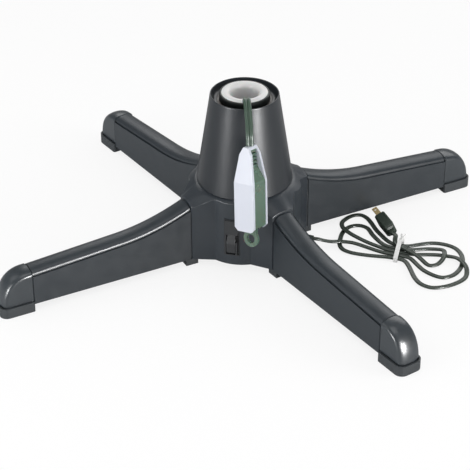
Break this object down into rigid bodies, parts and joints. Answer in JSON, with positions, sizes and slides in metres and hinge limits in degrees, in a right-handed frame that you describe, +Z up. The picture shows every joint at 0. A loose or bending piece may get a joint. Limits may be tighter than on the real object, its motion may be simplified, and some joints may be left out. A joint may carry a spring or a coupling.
{
  "type": "rotating christmas tree stand",
  "caption": "Low cross-shaped stand with a motor-driven turning socket for a small artificial tree, a hanging outlet block and a tied mains cord.",
  "frame": {"origin": "centre of the stand's footprint on the floor, on the turning axis", "axes": "+Z up along the turning axis, -Y towards the side with the power switch, +X towards the side where the cord leaves"},
  "size_m": [0.501, 0.4234, 0.2071],
  "materials": {
    "hub_plastic": "satin",
    "leg_plastic": "satin",
    "cap_plastic": "gloss",
    "foot_rubber": "satin",
    "plate_plastic": "matte",
    "screw_steel": "zinc plated",
    "bearing_steel": "polished",
    "cage_brass": "satin",
    "bush_bronze": "satin",
    "bush_plastic": "satin",
    "rotor_plastic": "satin",
    "socket_plastic": "satin",
    "gear_nylon": "satin",
    "drum_phenolic": "satin",
    "ring_copper": "polished",
    "brush_carbon": "matte",
    "pinion_brass": "satin",
    "motor_steel": "satin",
    "switch_plastic": "satin",
    "terminal_plastic": "gloss",
    "outlet_green": "translucent gloss",
    "cover_white": "gloss",
    "lead_green": "satin",
    "cord_green": "satin",
    "plug_green": "satin",
    "tie_white": "satin",
    "blade_brass": "polished"
  },
  "bodies": {
    "base": {"hub_base": "hub_plastic", "hub_bottom_plate": "plate_plastic", "tower_shell": "hub_plastic", "leg_front_left": "leg_plastic", "leg_front_right": "leg_plastic", "leg_back_left": "leg_plastic", "leg_back_right": "leg_plastic", "end_cap_front_left": "cap_plastic", "end_cap_front_right": "cap_plastic", "end_cap_back_left": "cap_plastic", "end_cap_back_right": "cap_plastic", "foot_front_left": "foot_rubber", "foot_front_right": "foot_rubber", "foot_back_left": "foot_rubber", "foot_back_right": "foot_rubber", "hub_pads": "foot_rubber", "leg_screws": "screw_steel", "plate_screws": "screw_steel", "tower_screws": "screw_steel", "bearing_race_lower": "bearing_steel", "top_bush": "bush_plastic", "pivot_bush": "bush_bronze", "brush_holder": "drum_phenolic", "brushes": "brush_carbon", "idler_axle": "motor_steel", "motor": "motor_steel", "motor_bracket": "motor_steel", "bracket_screws": "screw_steel", "switch_housing": "switch_plastic", "rocker_pin": "motor_steel", "terminal_block": "terminal_plastic", "cord_gland": "plug_green", "mains_cord": "cord_green", "cord_hank": "cord_green", "plug_lead": "cord_green", "cord_tie": "tie_white", "plug_body": "plug_green", "plug_blades": "blade_brass"},
    "rotor": {"rotor_spindle": "rotor_plastic", "collar_ring": "rotor_plastic", "pole_socket": "socket_plastic", "main_gear": "gear_nylon", "slip_ring_drum": "drum_phenolic", "slip_rings": "ring_copper", "bearing_race_upper": "bearing_steel", "outlet_lead": "lead_green", "outlet_body": "outlet_green", "outlet_cover": "cover_white"},
    "bearing": {"bearing_balls": "bearing_steel", "bearing_cage": "cage_brass"},
    "idler": {"idler_gear": "gear_nylon"},
    "pinion": {"motor_pinion": "pinion_brass"},
    "rocker": {"switch_rocker": "switch_plastic"}
  },
  "joints": [
    {"name": "rotor_spin", "type": "hinge", "parent": "base", "child": "rotor", "pos_m": [0, 0, 0.091], "axis": [0, 0, 1], "continuous": true, "deforming": ["outlet_lead", "outlet_body", "outlet_cover"]},
    {"name": "cage_spin", "type": "hinge", "parent": "base", "child": "bearing", "pos_m": [0, 0, 0.0953], "axis": [0, 0, 1], "continuous": true},
    {"name": "idler_spin", "type": "hinge", "parent": "base", "child": "idler", "pos_m": [-0.01076, 0.03644, 0.06], "axis": [0, 0, 1], "continuous": true},
    {"name": "pinion_spin", "type": "hinge", "parent": "base", "child": "pinion", "pos_m": [-0.03071, 0.02717, 0.053], "axis": [0, 0, 1], "continuous": true},
    {"name": "switch_rock", "type": "hinge", "parent": "base", "child": "rocker", "pos_m": [-0.0015, -0.0543, 0.035], "axis": [1, 0, 0], "range_deg": [0, 14]}
  ],
  "couplings": [
    {"joint": "cage_spin", "follows": "rotor_spin", "ratio": 0.5},
    {"joint": "idler_spin", "follows": "rotor_spin", "ratio": -3.75},
    {"joint": "pinion_spin", "follows": "rotor_spin", "ratio": 8.0357}
  ]
}
